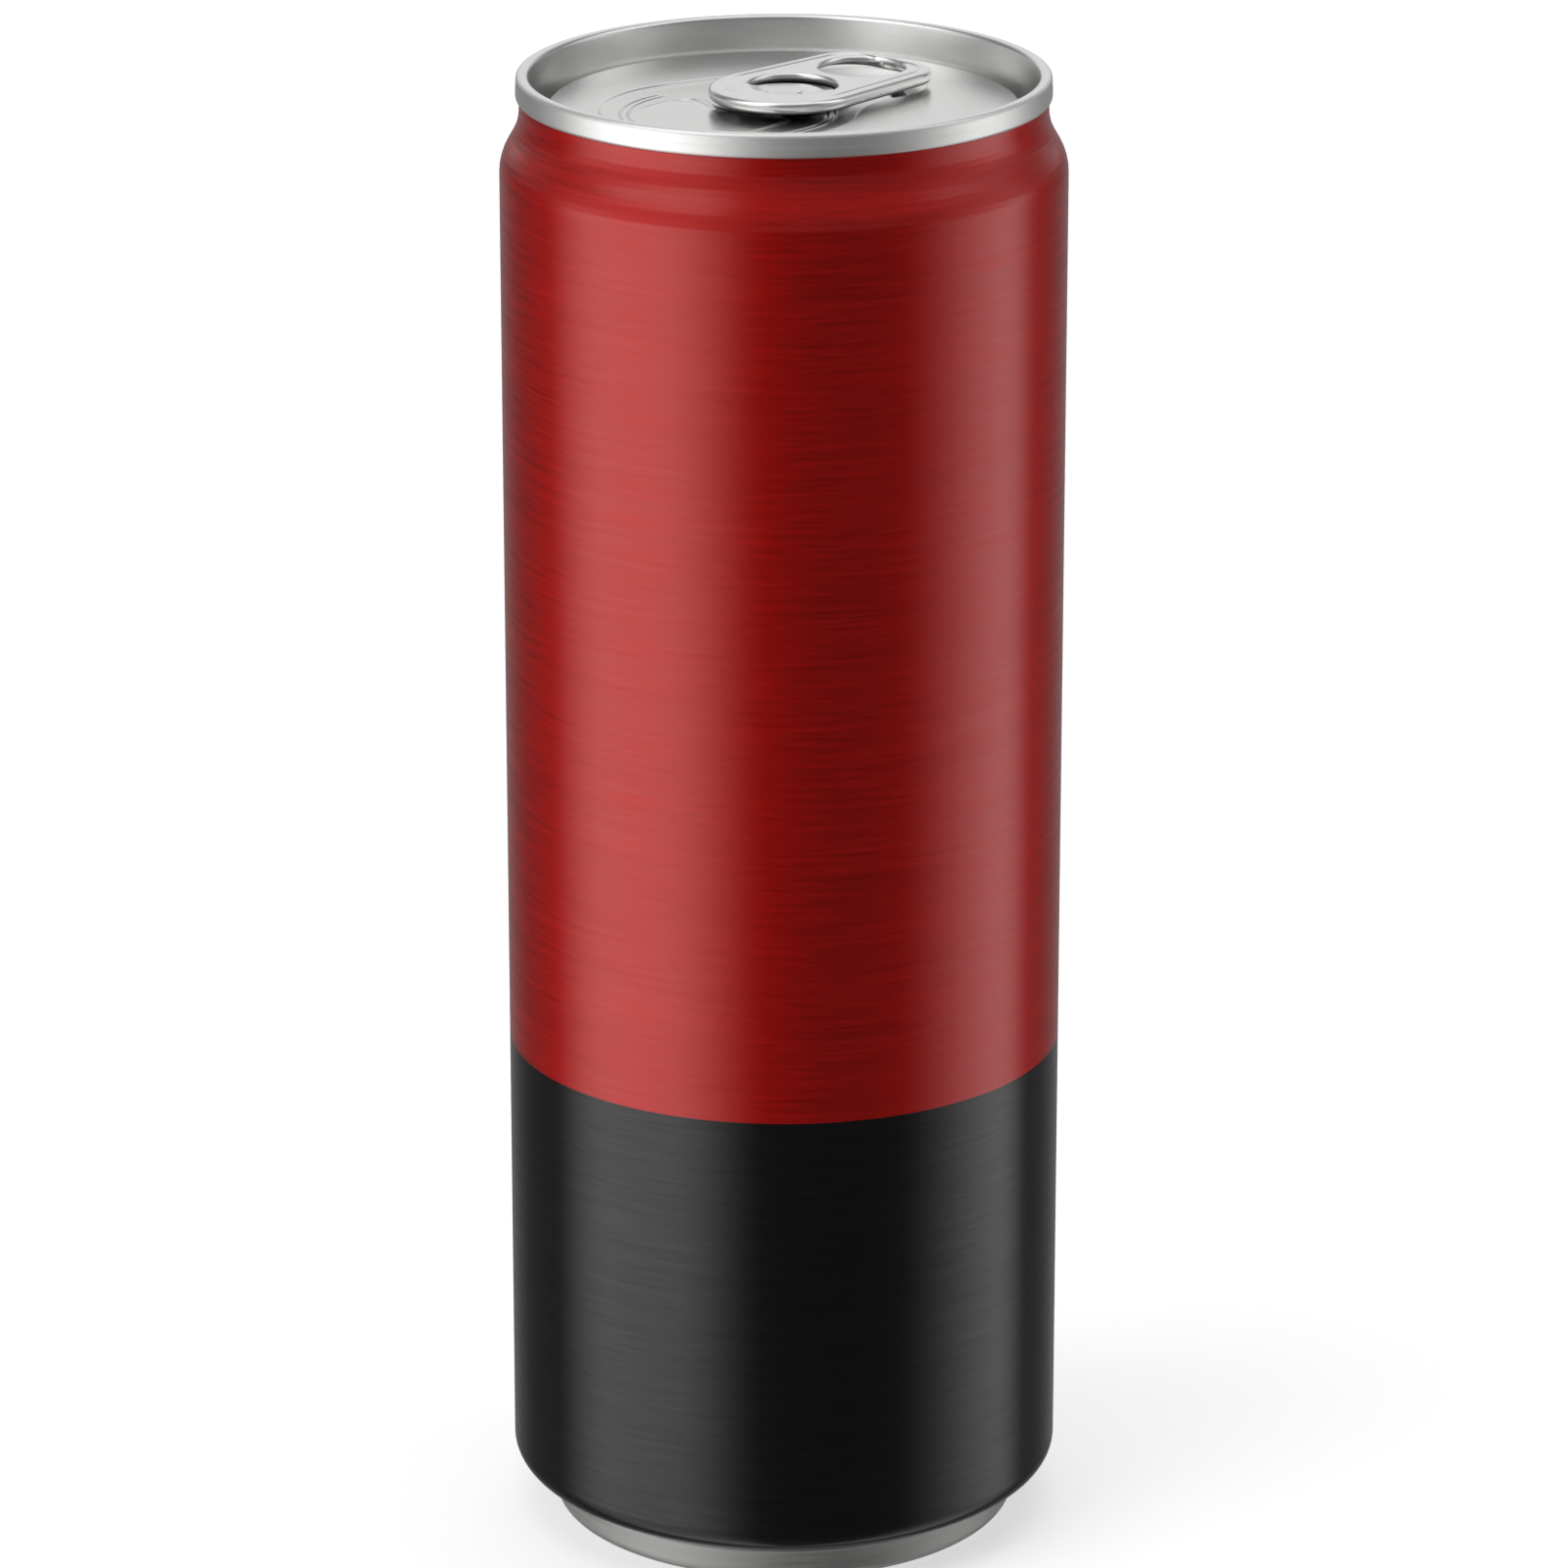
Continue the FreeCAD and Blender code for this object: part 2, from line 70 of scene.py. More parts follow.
FLANGE = 0.6
TOP_DEPTH = 6.9
TOUCH = 0.02
SPLIT_HEIGHT = 52.6
SEAM_FOOT = CAN_HEIGHT - SEAM_HEIGHT
NECK_RADIUS = SEAM_RADIUS - SEAM_OVERHANG
NECK_CORNER = CAN_HEIGHT - NECK_DEPTH - NECK_BEND * math.tan(NECK_SLOPE / 2)
SHOULDER_CORNER = NECK_CORNER - (WALL_RADIUS - NECK_RADIUS) / math.tan(NECK_SLOPE)
FOOT_RADIUS = WALL_RADIUS - FOOT_INSET
FOOT_INNER_RADIUS = FOOT_RADIUS - FOOT_WIDTH
HEEL_CORNER_UP = FOOT_WALL + (WALL_RADIUS - FOOT_RADIUS) * math.tan(HEEL_SLOPE)
RED, DEEP_RED = (0.58, 0.004, 0.002), (0.52, 0.003, 0.001)
BLACK = (0.006, 0.006, 0.006)
BARE_FOOT = (0.44, 0.44, 0.43)
PAINT_FEATHER = 0.1
PAINT_COVER = 0.92
WALL_ROUGHNESS = 0.60
STREAK_DEPTH = 0.004


def rounded(corners):
    """A line through (across, up, rounding) corners, each rounded by an arc that meets both its runs,
    with extra points beside each bend so that the straight runs shade straight."""
    line = []
    for index, (across, up, rounding) in enumerate(corners):
        here = Vector((across, up))
        if not rounding:
            line.append(here)
            continue
        before = (Vector(corners[index - 1][:2]) - here).normalized()
        after = (Vector(corners[index + 1][:2]) - here).normalized()
        half = before.angle(after) / 2
        centre = here + (before + after).normalized() * rounding / math.sin(half)
        start = here + before * rounding / math.tan(half) - centre
        end = here + after * rounding / math.tan(half) - centre
        steps = max(2, math.ceil(start.angle(end) / BEND_STEP))
        for step in range(steps + 1):
            line.append(centre + start.normalized().slerp(end.normalized(), step / steps) * rounding)
    margin = 0.12
    supported = [line[0]]
    for start, end in zip(line, line[1:]):
        run = end - start
        if run.length > 5 * margin:
            supported.append(start + run.normalized() * margin)
            supported.append(end - run.normalized() * margin)
        supported.append(end)
    return supported


def turn(build, line):
    """Turns a profile line once round the can's axis; a point on the axis closes the form."""
    rings = []
    for across, up in line:
        if across < MM:
            rings.append([build.verts.new((0, 0, up * MM))])
            continue
        rings.append([
            build.verts.new((across * MM * math.cos(angle), across * MM * math.sin(angle), up * MM))
            for angle in (2 * math.pi * step / ROUND_STEPS for step in range(ROUND_STEPS))
        ])
    for ring, after in zip(rings, rings[1:]):
        for step in range(ROUND_STEPS):
            beside = (step + 1) % ROUND_STEPS
            corners = [ring[step % len(ring)], ring[beside % len(ring)],
                       after[beside % len(after)], after[step % len(after)]]
            build.faces.new(list(dict.fromkeys(corners)))


def finished(name, build, material, sharp=60):
    """Makes the piece, smooth except across edges sharper than the angle given."""
    bmesh.ops.remove_doubles(build, verts=build.verts, dist=MM * MM)
    bmesh.ops.recalc_face_normals(build, faces=build.faces)
    mesh = bpy.data.meshes.new(name)
    build.to_mesh(mesh)
    build.free()
    mesh.materials.append(material)
    mesh.shade_smooth()
    mesh.set_sharp_from_angle(angle=math.radians(sharp))
    piece = bpy.data.objects.new(name, mesh)
    bpy.context.scene.collection.objects.link(piece)
    return piece


def body_line():
    """The wall's section: up the outside from the dome's middle to the seam, then closed under the end."""
    dome_rise = DOME_HEIGHT - DOME_EDGE
    dome_radius = (FOOT_INNER_RADIUS ** 2 + dome_rise ** 2) / (2 * dome_rise)
    dome = []
    reach = math.asin(FOOT_INNER_RADIUS / dome_radius)
    for step in range(DOME_STEPS):
        angle = reach * step / DOME_STEPS
        dome.append(Vector((dome_radius * math.sin(angle),
                            DOME_HEIGHT - dome_radius * (1 - math.cos(angle)))))
    under_seam = SEAM_FOOT - TOUCH
    under_end = CAN_HEIGHT - TOP_DEPTH
    rest = rounded([
        (FOOT_INNER_RADIUS, DOME_EDGE, 0),
        (FOOT_INNER_RADIUS, 0, FOOT_ROUNDING),
        (FOOT_RADIUS, 0, FOOT_ROUNDING),
        (FOOT_RADIUS, FOOT_WALL, FOOT_BEND),
        (WALL_RADIUS, HEEL_CORNER_UP, HEEL_BEND),
        (WALL_RADIUS, SHOULDER_CORNER, NECK_BEND),
        (NECK_RADIUS, NECK_CORNER, NECK_BEND),
        (NECK_RADIUS, under_seam, 0),
        (NECK_RADIUS - FLANGE, under_seam, 0),
        (NECK_RADIUS - 2 * FLANGE, under_end, 0),
        (0, under_end, 0),
    ])
    return dome + rest


def maths(nodes, links, operation, *values):
    """One arithmetic node; a value is a number or another node's output."""
    node = nodes.new("ShaderNodeMath")
    node.operation = operation
    for socket, value in zip(node.inputs, values):
        if isinstance(value, bpy.types.NodeSocket):
            links.new(value, socket)
        else:
            socket.default_value = value
    return node.outputs[0]


def streak_group():
    """Fine streaks drawn out by rolling or ironing: noise stretched along the metal's working line.
    Shade varies about 1, Height feeds a bump."""
    group = bpy.data.node_groups.new("drawn_streaks", "ShaderNodeTree")
    sockets = group.interface
    sockets.new_socket("Place", in_out="INPUT", socket_type="NodeSocketVector")
    sockets.new_socket("Stretch", in_out="INPUT", socket_type="NodeSocketVector")
    strength = sockets.new_socket("Strength", in_out="INPUT", socket_type="NodeSocketFloat")
    strength.default_value = 0.1
    sockets.new_socket("Shade", in_out="OUTPUT", socket_type="NodeSocketFloat")
    sockets.new_socket("Height", in_out="OUTPUT", socket_type="NodeSocketFloat")
    nodes, links = group.nodes, group.links
    ends = nodes.new("NodeGroupInput"), nodes.new("NodeGroupOutput")
    stretched = nodes.new("ShaderNodeVectorMath")
    stretched.operation = "MULTIPLY"
    links.new(ends[0].outputs["Place"], stretched.inputs[0])
    links.new(ends[0].outputs["Stretch"], stretched.inputs[1])
    layers = []
    for scale in (1.0, 3.1):
        noise = nodes.new("ShaderNodeTexNoise")
        noise.inputs["Scale"].default_value = scale
        noise.inputs["Detail"].default_value = 3.0
        noise.inputs["Roughness"].default_value = 0.6
        links.new(stretched.outputs[0], noise.inputs["Vector"])
        layers.append(noise.outputs["Fac"])
    both = maths(nodes, links, "ADD", *layers)
    centred = maths(nodes, links, "SUBTRACT", both, 1.0)
    shade = maths(nodes, links, "MULTIPLY_ADD", centred, ends[0].outputs["Strength"], 1.0)
    links.new(shade, ends[1].inputs["Shade"])
    links.new(both, ends[1].inputs["Height"])
    return group


STREAKS = streak_group()


def streaks(nodes, links, place, stretch, strength):
    """Places the streak group in a material, with its own stretch and strength."""
    node = nodes.new("ShaderNodeGroup")
    node.node_tree = STREAKS
    node.inputs["Stretch"].default_value = stretch
    node.inputs["Strength"].default_value = strength
    links.new(place, node.inputs["Place"])
    return node


def bump(nodes, links, height, depth):
    """A bump of the depth given, in millimetres."""
    node = nodes.new("ShaderNodeBump")
    node.inputs["Strength"].default_value = 1.0
    node.inputs["Distance"].default_value = depth * MM
    links.new(height, node.inputs["Height"])
    return node.outputs["Normal"]


def tinted(nodes, links, colour, shade):
    """A colour made lighter and darker by the streaks."""
    node = nodes.new("ShaderNodeVectorMath")
    node.operation = "SCALE"
    links.new(colour, node.inputs[0])
    links.new(shade, node.inputs["Scale"])
    return node.outputs[0]


def step_at(nodes, links, height, level, feather):
    """0 below a level and 1 above it, over a short feather, both in the unit of the value."""
    node = nodes.new("ShaderNodeMapRange")
    node.interpolation_type = "SMOOTHSTEP"
    node.inputs["From Min"].default_value = level - feather / 2
    node.inputs["From Max"].default_value = level + feather / 2
    links.new(height, node.inputs["Value"])
    return node.outputs["Result"]


def colour_mix(nodes, links, mask, below, above):
    """Chooses between two colours, or between a colour and another mix, by a mask."""
    node = nodes.new("ShaderNodeMix")
    node.data_type = "RGBA"
    links.new(mask, node.inputs["Factor"])
    for socket, value in ((node.inputs[6], below), (node.inputs[7], above)):
        if isinstance(value, bpy.types.NodeSocket):
            links.new(value, socket)
        else:
            socket.default_value = (*value, 1)
    return node.outputs[2]


def lacquered_metal():
    """Clear red lacquer above the split and black below it, over brushed metal; the foot is bare."""
    material = bpy.data.materials.new("lacquered_wall")
    material.use_nodes = True
    nodes, links = material.node_tree.nodes, material.node_tree.links
    shader = nodes["Principled BSDF"]
    place = nodes.new("ShaderNodeTexCoord").outputs["Object"]
    parts = nodes.new("ShaderNodeSeparateXYZ")
    links.new(place, parts.inputs[0])
    height = parts.outputs["Z"]
    fine = streaks(nodes, links, place, (70, 70, 1900), 0.45)
    broad = streaks(nodes, links, place, (22, 22, 620), 0.20)
    red = colour_mix(nodes, links, broad.outputs["Height"], RED, DEEP_RED)
    feather = PAINT_FEATHER * MM
    split = step_at(nodes, links, height, SPLIT_HEIGHT * MM, feather)
    painted = step_at(nodes, links, height, (FOOT_WALL + PAINT_FEATHER) * MM, feather)
    colour = colour_mix(nodes, links, painted, BARE_FOOT, colour_mix(nodes, links, split, BLACK, red))
    shade = tinted(nodes, links, tinted(nodes, links, colour, fine.outputs["Shade"]),
                   broad.outputs["Shade"])
    cover = maths(nodes, links, "MULTIPLY", fine.outputs["Shade"], PAINT_COVER)
    links.new(shade, shader.inputs["Base Color"])
    links.new(maths(nodes, links, "MULTIPLY", fine.outputs["Shade"], WALL_ROUGHNESS),
              shader.inputs["Roughness"])
    links.new(maths(nodes, links, "MULTIPLY", painted, cover), shader.inputs["Coat Weight"])
    links.new(bump(nodes, links, fine.outputs["Height"], STREAK_DEPTH), shader.inputs["Normal"])
    shader.inputs["Metallic"].default_value = 1.0
    shader.inputs["Coat Roughness"].default_value = 0.16
    shader.inputs["Coat IOR"].default_value = 1.5
    return material


build = bmesh.new()
turn(build, body_line())
body = finished("drawn_body", build, lacquered_metal())
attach(body, "root")
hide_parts("can_body")


# ----------------------------------------------------------------------------------------- can_end
# The end is stamped from aluminium sheet and rolled onto the body's flange in a double seam. Inside the
# seam are the chuck wall, the countersink groove and the panel, which holds a shallow recess, the score
# that tears open, a raised bead, two buttons under the tab's heel and the rivet drawn up for the tab.
SEAM_WIDTH = 1.2
SEAM_STEP_UP = 1.0
SEAM_STEP_IN = 0.03
CHUCK_LEAN = 1.0
GROOVE_DEPTH = 6.35
GROOVE_WIDTH = 1.0
PANEL_DEPTH = 3.3
PANEL_CORNER = 0.4
SHEET = 0.25
RECESS_DEPTH = 0.25
RECESS_WALL = 0.48
POUR_LAND = 4.4
POUR_CENTRE = Vector((-5.5, 2.5))
HEEL_LAND = 3.8
HEEL_LOBE_RADIUS = 8.0
HEEL_LOBE_SIDE = 1.5
HOLLOW_RADIUS = 10.0
SCORE_CENTRE = Vector((-6.2, 2.0))
SCORE_RADIUS = 10.8
SCORE_GAP = 0.8
SCORE_HALF_WIDTH = 0.2
SCORE_DEPTH = 0.17
BEAD_HALF_WIDTH = 0.62
BEAD_HEIGHT = 0.28
BUTTONS = [Vector((11.2, 5.35)), Vector((11.2, -5.35))]
BUTTON_RADIUS = 1.25
BUTTON_HEIGHT = 0.58
BOSS_FOOT = 3.4
BOSS_TOP = 2.3
RIVET_SHANK = 1.5
RIVET_HEAD = 1.84
RIVET_HEAD_HEIGHT = 0.25
RIVET_DISH = 0.07
TAB_TURN = math.radians(48)
TAB_DEPTH = 1.45
ISLAND_DEPTH = 0.7
WINDOW = Vector((1.2, 0)), 4.6
WALL_TOP_RADIUS = SEAM_RADIUS - SEAM_WIDTH
WALL_FOOT_RADIUS = WALL_TOP_RADIUS - CHUCK_LEAN
GROOVE_BOTTOM = CAN_HEIGHT - GROOVE_DEPTH
PANEL_EDGE = WALL_FOOT_RADIUS - GROOVE_WIDTH
PANEL_FLAT = PANEL_EDGE - PANEL_CORNER
PANEL_TOP = CAN_HEIGHT - PANEL_DEPTH
RECESS_TOP = PANEL_TOP - RECESS_DEPTH
TAB_TOP = CAN_HEIGHT - TAB_DEPTH
ISLAND_TOP = TAB_TOP - ISLAND_DEPTH
POUR_RADIUS = PANEL_FLAT - POUR_LAND - POUR_CENTRE.length
HEEL_LOBE_CENTRE = Vector((PANEL_FLAT - HEEL_LAND - HEEL_LOBE_RADIUS, HEEL_LOBE_SIDE))
SEAM_FACE = 0.35
SEAM_FEATHER = 0.3
SEAM_ROUGHNESS = 0.44
# Painted shade under the tab's window: within this radius of the rivet the panel keeps only this share of
# its colour.
SHADE_DISK_RADIUS = 5.6
SHADE_DISK_FEATHER = 1.6
SHADE_DISK_SHARE = 0.10
DULL_ROUGHNESS = 0.5


class Track:
    """A line pressed into sheet, open or closed, that tells how far a point lies to its left."""

    def __init__(self, points, closed):
        self.points = points
        self.closed = closed
        self.tree = kdtree.KDTree(len(points))
        for index, point in enumerate(points):
            self.tree.insert((point.x, point.y, 0), index)
        self.tree.balance()

    def tangent(self, index):
        count = len(self.points)
        if self.closed:
            return (self.points[(index + 1) % count] - self.points[index - 1]).normalized()
        return (self.points[min(index + 1, count - 1)] - self.points[max(index - 1, 0)]).normalized()

    def left(self, place):
        """(distance to the left of the line, negative to its right; share of the way along it)"""
        index = self.tree.find((place.x, place.y, 0))[1]
        tangent = self.tangent(index)
        gap = place - self.points[index]
        along = gap.dot(tangent)
        side = tangent.x * gap.y - tangent.y * gap.x
        count = len(self.points)
        past_end = not self.closed and (index == 0 and along < 0 or index == count - 1 and along > 0)
        if past_end:
            side = math.copysign(gap.length, side)
        return side, index / (count - 1)

    def beside(self, distance):
        """Points at one distance to the left of the line."""
        places = []
        for index, point in enumerate(self.points):
            tangent = self.tangent(index)
            places.append(point + Vector((-tangent.y, tangent.x)) * distance)
        return places


def arc(centre, radius, first, last):
    """Points along an arc, angles in radians, spaced for later resampling."""
    steps = max(2, math.ceil(abs(last - first) * radius / 0.1))
    return [centre + Vector((math.cos(angle), math.sin(angle))) * radius
            for angle in (first + (last - first) * step / steps for step in range(steps + 1))]


def spaced(points, gap, closed):
    """The same line with evenly spaced points."""
    line = points + points[:1] if closed else points
    lengths = [0.0]
    for start, end in zip(line, line[1:]):
        lengths.append(lengths[-1] + (end - start).length)
    count = max(2, round(lengths[-1] / gap))
    places = []
    index = 0
    for step in range(count if closed else count + 1):
        goal = lengths[-1] * step / count
        while index < len(line) - 2 and lengths[index + 1] < goal:
            index += 1
        share = (goal - lengths[index]) / max(lengths[index + 1] - lengths[index], MM)
        places.append(line[index].lerp(line[index + 1], min(share, 1)))
    return places


def smooth(value):
    """0 below 0, 1 above 1 and an even S-curve between."""
    value = min(max(value, 0), 1)
    return value * value * (3 - 2 * value)


def recess_line():
    """The recess round the tab: a large lobe on the pour side, a small one round the tab's heel, one
    straight flank and one hollow flank."""
    line = HEEL_LOBE_CENTRE - POUR_CENTRE
    lean = math.atan2(line.y, line.x) + math.acos((POUR_RADIUS - HEEL_LOBE_RADIUS) / line.length)
    first = POUR_RADIUS + HOLLOW_RADIUS
    second = HEEL_LOBE_RADIUS + HOLLOW_RADIUS
    along = (first ** 2 - second ** 2 + line.length ** 2) / (2 * line.length)
    off = math.sqrt(first ** 2 - along ** 2)
    unit = line.normalized()
    hollow = POUR_CENTRE + unit * along + Vector((unit.y, -unit.x)) * off
    to_pour = POUR_CENTRE - hollow
    to_heel = HEEL_LOBE_CENTRE - hollow
    pour_end = math.atan2(-to_pour.y, -to_pour.x) % (2 * math.pi)
    heel_start = math.atan2(-to_heel.y, -to_heel.x)
    hollow_ends = math.atan2(to_pour.y, to_pour.x), math.atan2(to_heel.y, to_heel.x)
    points = arc(POUR_CENTRE, POUR_RADIUS, lean, pour_end)
    points += arc(hollow, HOLLOW_RADIUS, *hollow_ends)
    points += arc(HEEL_LOBE_CENTRE, HEEL_LOBE_RADIUS, heel_start, lean)
    return Track(spaced(points, 0.3, True), True)


def score_line(inset):
    """The tear line round the pour panel, open beside the rivet."""
    line = arc(SCORE_CENTRE, SCORE_RADIUS - inset, math.radians(82), math.radians(322))
    return Track(spaced(line, 0.25, False), False)


def bead_line():
    """The raised bead of the pour panel: it bows round the rivet and runs out towards the can's rim."""
    corners = [(-12.5, 9.6, 0), (-3.2, 9.9, 1.7), (-6.2, 2.6, 6.0), (-3.0, -4.9, 1.5), (-11.0, -4.6, 0)]
    return Track(spaced(rounded(corners), 0.3, False), False)


RECESS = recess_line()
SCORES = [score_line(0), score_line(SCORE_GAP)]
BEAD = bead_line()


def panel_height(place):
    """The height of the panel's face at a place in the tab's axes."""
    height = PANEL_TOP - RECESS_DEPTH * smooth(RECESS.left(place)[0] / RECESS_WALL + 0.5)
    for score in SCORES:
        off = abs(score.left(place)[0])
        height -= SCORE_DEPTH * (1 - smooth(off / SCORE_HALF_WIDTH))
    off, share = BEAD.left(place)
    ends = smooth(share / 0.3) * smooth((1 - share) / 0.3)
    height += BEAD_HEIGHT * ends * (1 - smooth(abs(off) / BEAD_HALF_WIDTH))
    for button in BUTTONS:
        slope = ((place - button).length / BUTTON_RADIUS - 0.35) / 0.65
        height += BUTTON_HEIGHT * (1 - smooth(slope))
    boss = (place.length - BOSS_TOP) / (BOSS_FOOT - BOSS_TOP)
    return height + (ISLAND_TOP - SHEET - RECESS_TOP - TOUCH) * (1 - smooth(boss))


def grid(radius, gap):
    """Evenly spread points inside a circle."""
    rows = math.ceil(radius / gap / 0.866)
    columns = math.ceil(radius / gap)
    places = []
    for row in range(-rows, rows + 1):
        for column in range(-columns, columns + 1):
            place = Vector(((column + row % 2 / 2) * gap, row * gap * 0.866))
            if place.length < radius:
                places.append(place)
    return places


def apart(places, gap):
    """Drops each point that lies too close to an earlier one."""
    cells = {}
    kept = []
    for place in places:
        cell = (math.floor(place.x / gap), math.floor(place.y / gap))
        near = [other for across in (-1, 0, 1) for up in (-1, 0, 1)
                for other in cells.get((cell[0] + across, cell[1] + up), ())]
        if all((other - place).length >= gap for other in near):
            cells.setdefault(cell, []).append(place)
            kept.append(place)
    return kept


def filled(rims, inner):
    """Triangles inside the first of some closed rings, with edges along every ring, through the inner
    points. It gives the points and the triangles."""
    points = []
    edges = []
    for rim in rims:
        first = len(points)
        points += rim
        edges += [(first + step, first + (step + 1) % len(rim)) for step in range(len(rim))]
    points = points + inner
    found = geometry.delaunay_2d_cdt(points, edges, [], 1, 1e-7, False)
    return found[0], found[2]


def place_on_can(place, height):
    """From the tab's axes to the can's, in metres."""
    across = place.x * math.cos(TAB_TURN) - place.y * math.sin(TAB_TURN)
    along = place.x * math.sin(TAB_TURN) + place.y * math.cos(TAB_TURN)
    return Vector((across * MM, along * MM, height * MM))


def panel_face(build):
    """The panel's upper face, pressed to its heights; its rim meets the turned part of the end."""
    rim = []
    for step in range(ROUND_STEPS):
        angle = 2 * math.pi * step / ROUND_STEPS - TAB_TURN
        rim.append(Vector((math.cos(angle), math.sin(angle))) * PANEL_FLAT)
    pressed = []
    for distance in (0, 0.12, -0.12, 0.24, -0.24, 0.35, -0.35, 0.5, -0.5):
        pressed += RECESS.beside(distance)
    for score in SCORES:
        for distance in (0, 0.07, -0.07, 0.14, -0.14, 0.21, -0.21, 0.3, -0.3):
            pressed += score.beside(distance)
    for distance in (0, 0.15, -0.15, 0.3, -0.3, 0.45, -0.45, 0.62, -0.62, 0.75, -0.75):
        pressed += BEAD.beside(distance)
    for button in BUTTONS:
        for share in range(1, 14):
            pressed += spaced(arc(button, BUTTON_RADIUS * share / 12, 0, 2 * math.pi), 0.22, True)
    for step in range(-1, 10):
        ring = BOSS_TOP + (BOSS_FOOT - BOSS_TOP) * step / 8
        pressed += spaced(arc(Vector((0, 0)), ring, 0, 2 * math.pi), 0.3, True)
    inner = apart([place for place in pressed if place.length < PANEL_FLAT - 0.3], 0.055)
    marked = kdtree.KDTree(len(inner))
    for index, place in enumerate(inner):
        marked.insert((place.x, place.y, 0), index)
    marked.balance()
    inner += [place for place in grid(PANEL_FLAT - 0.4, 0.6)
              if marked.find((place.x, place.y, 0))[2] > 0.22]
    points, triangles = filled([rim], inner)
    corners = []
    for place in points:
        height = PANEL_TOP if place.length > PANEL_FLAT - MM else panel_height(place)
        corners.append(build.verts.new(place_on_can(place, height)))
    for triangle in triangles:
        build.faces.new([corners[index] for index in triangle])


def end_line():
    """The turned part of the end, from under the panel's middle out to the seam and back in to the
    panel's edge. The seam's face has the faint step that its second rolling leaves."""
    under = PANEL_TOP - SHEET - RECESS_DEPTH
    inner_lean = WALL_FOOT_RADIUS + SHEET
    step_up = SEAM_FOOT + SEAM_STEP_UP
    return rounded([
        (0, under, 0),
        (PANEL_EDGE - SHEET, under, 0),
        (PANEL_EDGE - SHEET, GROOVE_BOTTOM - SHEET, 0.45),
        (inner_lean, GROOVE_BOTTOM - SHEET, 0.45),
        (WALL_TOP_RADIUS - 0.1, SEAM_FOOT, 0),
        (SEAM_RADIUS, SEAM_FOOT, 0.4),
        (SEAM_RADIUS, step_up, 0.6),
        (SEAM_RADIUS - SEAM_STEP_IN, step_up + 0.3, 0.6),
        (SEAM_RADIUS - 2 * SEAM_STEP_IN, CAN_HEIGHT, 0.5),
        (WALL_TOP_RADIUS - 0.05, CAN_HEIGHT, 0.5),
        (WALL_FOOT_RADIUS, GROOVE_BOTTOM, 0.49),
        (PANEL_EDGE, GROOVE_BOTTOM, 0.49),
        (PANEL_EDGE, PANEL_TOP, 0.39),
        (PANEL_FLAT, PANEL_TOP, 0),
    ])


def rivet_line():
    """The rivet's shank and its flattened head, a little dished on top."""
    head_top = ISLAND_TOP + RIVET_HEAD_HEIGHT
    return rounded([
        (0, RECESS_TOP - 0.1, 0),
        (RIVET_SHANK, RECESS_TOP - 0.1, 0),
        (RIVET_SHANK, ISLAND_TOP + 0.01, 0),
        (RIVET_HEAD, ISLAND_TOP + 0.01, 0.05),
        (RIVET_HEAD, head_top, 0.12),
        (1.2, head_top, 0.3),
        (0.8, head_top - RIVET_DISH, 0.3),
        (0, head_top - RIVET_DISH, 0),
    ])


def satin_aluminium(name, colour, roughness, stretch, strength, depth, matt_and_painted_shade):
    """Bare sheet with fine rolling streaks. The last value lists the matt places and the places of painted
    shade: for each its mask, the share of the colour left there, below 1 where shade is painted, and the
    roughness there."""
    material = bpy.data.materials.new(name)
    material.use_nodes = True
    nodes, links = material.node_tree.nodes, material.node_tree.links
    shader = nodes["Principled BSDF"]
    place = nodes.new("ShaderNodeTexCoord").outputs["Object"]
    fine = streaks(nodes, links, place, stretch, strength)
    broad = streaks(nodes, links, place, (70, 90, 80), 0.06)
    metal = colour_mix(nodes, links, broad.outputs["Height"], [part * 0.97 for part in colour], colour)
    middle = nodes.new("ShaderNodeValue")
    middle.outputs[0].default_value = roughness
    rough = middle.outputs[0]
    for mask, share, matt in matt_and_painted_shade(nodes, links):
        metal = colour_mix(nodes, links, mask, metal, [part * share for part in colour])
        change = nodes.new("ShaderNodeMix")
        change.inputs["B"].default_value = matt
        links.new(mask, change.inputs["Factor"])
        links.new(rough, change.inputs["A"])
        rough = change.outputs["Result"]
    links.new(tinted(nodes, links, metal, fine.outputs["Shade"]), shader.inputs["Base Color"])
    links.new(maths(nodes, links, "MULTIPLY", rough, broad.outputs["Shade"]), shader.inputs["Roughness"])
    links.new(bump(nodes, links, fine.outputs["Height"], depth), shader.inputs["Normal"])
    shader.inputs["Metallic"].default_value = 1.0
    return material


def reach_from(nodes, links, centre):
    """How far a point lies, seen from above, from an upright line."""
    flat = nodes.new("ShaderNodeVectorMath")
    flat.operation = "MULTIPLY_ADD"
    flat.inputs[1].default_value = (1, 1, 0)
    flat.inputs[2].default_value = (-centre.x, -centre.y, 0)
    links.new(nodes.new("ShaderNodeTexCoord").outputs["Object"], flat.inputs[0])
    reach = nodes.new("ShaderNodeVectorMath")
    reach.operation = "LENGTH"
    links.new(flat.outputs[0], reach.inputs[0])
    return reach.outputs["Value"]


